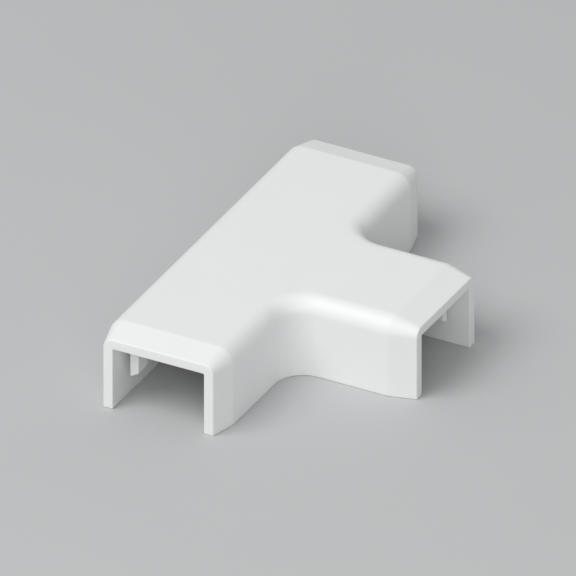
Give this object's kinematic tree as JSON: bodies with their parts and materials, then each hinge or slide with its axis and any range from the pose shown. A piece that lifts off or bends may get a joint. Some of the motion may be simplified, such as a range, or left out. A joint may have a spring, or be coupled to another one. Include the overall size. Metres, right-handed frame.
{
  "type": "trunking tee fitting",
  "caption": "Moulded tee cover for small surface trunking: a channel open underneath, with tapered mouths, rounded edges and tabs inside.",
  "frame": {"origin": "where the centre lines of the run and the branch cross, on the wall that the rim sits on", "axes": "+X along the branch towards its mouth, +Y along the run, +Z off the wall"},
  "size_m": [0.0416, 0.0654, 0.0131],
  "materials": {
    "white_plastic": "satin, with a fine moulded texture"
  },
  "bodies": {
    "root": {"tee_cover": "white_plastic"}
  },
  "joints": []
}
